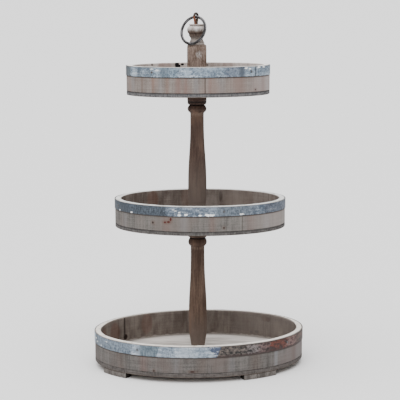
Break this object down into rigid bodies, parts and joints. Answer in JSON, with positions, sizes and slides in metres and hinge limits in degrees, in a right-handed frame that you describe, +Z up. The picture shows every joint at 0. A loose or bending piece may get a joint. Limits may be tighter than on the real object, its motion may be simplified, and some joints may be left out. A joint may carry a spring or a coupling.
{
  "type": "tiered stand",
  "caption": "Free-standing tiered stand: oval wooden trays with metal rim bands on turned posts, low feet below, and a ring hanging from an eye screw on top.",
  "frame": {"origin": "on the ground under the middle of the bottom tray", "axes": "+Z up, +X to the right along the trays, +Y to the back"},
  "size_m": [0.4796, 0.3403, 0.8001],
  "materials": {
    "wall": "weathered grey-brown wood, once whitewashed, with vertical grain",
    "board": "whitewashed, worn matte",
    "foot": "weathered, matte",
    "post": "dark brown stain, worn, low sheen",
    "finial": "weathered brown with whitewash on the upper knob",
    "band": "galvanised strip, mottled, with worn and rusted stretches",
    "nail": "dull",
    "screw": "zinc plated",
    "eye": "rusted",
    "ring": "dark iron, worn bright on the outside"
  },
  "bodies": {
    "stand": {"foot_front_left": "foot", "foot_screw_front_left": "screw", "foot_front_right": "foot", "foot_screw_front_right": "screw", "foot_back_right": "foot", "foot_screw_back_right": "screw", "foot_back_left": "foot", "foot_screw_back_left": "screw", "bottom_floor": "board", "bottom_wall_right": "wall", "bottom_wall_back": "wall", "bottom_wall_left": "wall", "bottom_wall_front": "wall", "bottom_band": "band", "bottom_band_nail_1": "nail", "bottom_band_nail_2": "nail", "bottom_band_nail_3": "nail", "bottom_band_nail_4": "nail", "bottom_floor_screw_right": "screw", "bottom_floor_screw_back": "screw", "bottom_floor_screw_left": "screw", "bottom_floor_screw_front": "screw", "middle_floor": "board", "middle_wall_right": "wall", "middle_wall_back": "wall", "middle_wall_left": "wall", "middle_wall_front": "wall", "middle_band": "band", "middle_band_nail_1": "nail", "middle_band_nail_2": "nail", "middle_band_nail_3": "nail", "middle_band_nail_4": "nail", "middle_floor_screw_right": "screw", "middle_floor_screw_back": "screw", "middle_floor_screw_left": "screw", "middle_floor_screw_front": "screw", "top_floor": "board", "top_wall_right": "wall", "top_wall_back": "wall", "top_wall_left": "wall", "top_wall_front": "wall", "top_band": "band", "top_band_nail_1": "nail", "top_band_nail_2": "nail", "top_band_nail_3": "nail", "top_band_nail_4": "nail", "top_floor_screw_right": "screw", "top_floor_screw_back": "screw", "top_floor_screw_left": "screw", "top_floor_screw_front": "screw", "lower_post": "post", "upper_post": "post", "finial": "finial", "base_screw": "screw", "base_washer": "screw", "middle_stud": "screw", "top_stud": "screw", "eye_screw": "eye"},
    "ring": {"handle_ring": "ring"}
  },
  "joints": [
    {"name": "ring_swing", "type": "hinge", "parent": "stand", "child": "ring", "pos_m": [-0.004, 0, 0.78985], "axis": [-0.8192, 0.5736, 0], "range_deg": [0, 318]}
  ]
}
